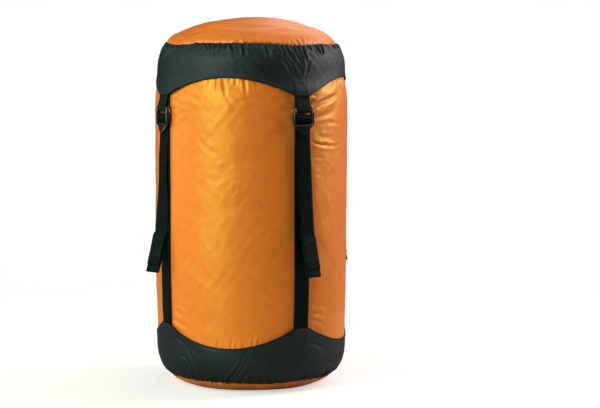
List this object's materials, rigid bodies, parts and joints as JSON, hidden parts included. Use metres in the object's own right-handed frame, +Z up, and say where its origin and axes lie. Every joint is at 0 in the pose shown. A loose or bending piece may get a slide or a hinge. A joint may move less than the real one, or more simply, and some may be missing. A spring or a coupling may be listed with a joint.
{
  "type": "compression sack",
  "caption": "Round fabric compression sack, standing full, with a domed lid, scalloped harness bands and webbing straps in ladder-lock buckles that pull it down.",
  "frame": {"origin": "centre of the flat base on the ground", "axes": "+Z up along the sack's axis; the four straps stand at -Y (front), +X (right), +Y (back) and -X (left)"},
  "size_m": [0.264, 0.264, 0.448],
  "materials": {
    "orange_fabric": "silicone-coated nylon, fine weave, glossy",
    "dark_fabric": "coated nylon pack cloth, satin",
    "webbing": "ribbed flat nylon webbing",
    "buckle_plastic": "moulded acetal, satin",
    "seam_tape": "woven binding tape",
    "cord": "braided cord",
    "spring_steel": "drawn wire",
    "label": "woven label, blank",
    "thread": "bonded sewing thread"
  },
  "bodies": {
    "base": {"base_panel": "orange_fabric", "base_band": "dark_fabric", "base_seam_tape": "seam_tape", "base_bartacks": "thread", "body_panel": "orange_fabric", "side_seam": "orange_fabric", "side_label": "label", "strap_front": "webbing", "strap_right": "webbing", "strap_back": "webbing", "strap_left": "webbing"},
    "neck": {"neck_collar": "orange_fabric", "drawcord": "cord"},
    "cord_lock": {"cord_lock_barrel": "buckle_plastic", "cord_lock_spring": "spring_steel"},
    "cord_lock_plunger": {"cord_lock_plunger": "buckle_plastic"},
    "lid": {"lid_panel": "orange_fabric", "lid_band": "dark_fabric", "lid_seam_tape": "seam_tape", "lid_bartacks": "thread", "tab_front": "webbing", "tab_right": "webbing", "tab_back": "webbing", "tab_left": "webbing"},
    "buckle_front": {"buckle_front": "buckle_plastic", "strap_turn_front": "webbing"},
    "tail_front": {"tail_front": "webbing"},
    "pull_end_front": {"pull_end_front": "webbing"},
    "buckle_right": {"buckle_right": "buckle_plastic", "strap_turn_right": "webbing"},
    "tail_right": {"tail_right": "webbing"},
    "pull_end_right": {"pull_end_right": "webbing"},
    "buckle_back": {"buckle_back": "buckle_plastic", "strap_turn_back": "webbing"},
    "tail_back": {"tail_back": "webbing"},
    "pull_end_back": {"pull_end_back": "webbing"},
    "buckle_left": {"buckle_left": "buckle_plastic", "strap_turn_left": "webbing"},
    "tail_left": {"tail_left": "webbing"},
    "pull_end_left": {"pull_end_left": "webbing"}
  },
  "joints": [
    {"name": "compress", "type": "slide", "parent": "base", "child": "neck", "axis": [0, 0, -1], "range_m": [0, 0.22], "deforming": ["body_panel", "side_seam", "strap_front", "strap_right", "strap_back", "strap_left"]},
    {"name": "lid_lift", "type": "slide", "parent": "neck", "child": "lid", "axis": [0, 0, 1], "range_m": [0, 0.08], "deforming": ["strap_front", "strap_right", "strap_back", "strap_left"]},
    {"name": "cord_lock_slide", "type": "slide", "parent": "neck", "child": "cord_lock", "axis": [1, 0, 0], "range_m": [0, 0.016]},
    {"name": "cord_lock_press", "type": "slide", "parent": "cord_lock", "child": "cord_lock_plunger", "axis": [0, -1, 0], "range_m": [0, 0.004], "stiffness_N_per_m": 1200, "springref_m": -0.003, "deforming": ["cord_lock_spring"]},
    {"name": "buckle_front_tilt", "type": "hinge", "parent": "lid", "child": "buckle_front", "pos_m": [0, -0.1215, 0.3385], "axis": [-1, 0, 0], "range_deg": [0, 30]},
    {"name": "tail_front_swing", "type": "hinge", "parent": "buckle_front", "child": "tail_front", "pos_m": [0, -0.12405, 0.3118], "axis": [-1, 0, 0], "range_deg": [0, 145]},
    {"name": "pull_end_front_fold", "type": "hinge", "parent": "tail_front", "child": "pull_end_front", "pos_m": [0, -0.1205, 0.243], "axis": [-1, 0, 0], "range_deg": [-141, 0]},
    {"name": "buckle_right_tilt", "type": "hinge", "parent": "lid", "child": "buckle_right", "pos_m": [0.1215, 0, 0.3385], "axis": [0, -1, 0], "range_deg": [0, 30]},
    {"name": "tail_right_swing", "type": "hinge", "parent": "buckle_right", "child": "tail_right", "pos_m": [0.12405, 0, 0.3118], "axis": [0, -1, 0], "range_deg": [0, 145]},
    {"name": "pull_end_right_fold", "type": "hinge", "parent": "tail_right", "child": "pull_end_right", "pos_m": [0.1205, 0, 0.243], "axis": [0, -1, 0], "range_deg": [-141, 0]},
    {"name": "buckle_back_tilt", "type": "hinge", "parent": "lid", "child": "buckle_back", "pos_m": [0, 0.1215, 0.3385], "axis": [1, 0, 0], "range_deg": [0, 30]},
    {"name": "tail_back_swing", "type": "hinge", "parent": "buckle_back", "child": "tail_back", "pos_m": [0, 0.12405, 0.3118], "axis": [1, 0, 0], "range_deg": [0, 145]},
    {"name": "pull_end_back_fold", "type": "hinge", "parent": "tail_back", "child": "pull_end_back", "pos_m": [0, 0.1205, 0.243], "axis": [1, 0, 0], "range_deg": [-141, 0]},
    {"name": "buckle_left_tilt", "type": "hinge", "parent": "lid", "child": "buckle_left", "pos_m": [-0.1215, 0, 0.3385], "axis": [0, 1, 0], "range_deg": [0, 30]},
    {"name": "tail_left_swing", "type": "hinge", "parent": "buckle_left", "child": "tail_left", "pos_m": [-0.12405, 0, 0.3118], "axis": [0, 1, 0], "range_deg": [0, 145]},
    {"name": "pull_end_left_fold", "type": "hinge", "parent": "tail_left", "child": "pull_end_left", "pos_m": [-0.1205, 0, 0.243], "axis": [0, 1, 0], "range_deg": [-141, 0]}
  ],
  "couplings": [
    {"joint": "tail_front_swing", "follows": "compress", "rad_per_m": 11.5},
    {"joint": "pull_end_front_fold", "follows": "compress", "rad_per_m": -11.18},
    {"joint": "tail_right_swing", "follows": "compress", "rad_per_m": 11.5},
    {"joint": "pull_end_right_fold", "follows": "compress", "rad_per_m": -11.18},
    {"joint": "tail_back_swing", "follows": "compress", "rad_per_m": 11.5},
    {"joint": "pull_end_back_fold", "follows": "compress", "rad_per_m": -11.18},
    {"joint": "tail_left_swing", "follows": "compress", "rad_per_m": 11.5},
    {"joint": "pull_end_left_fold", "follows": "compress", "rad_per_m": -11.18}
  ]
}
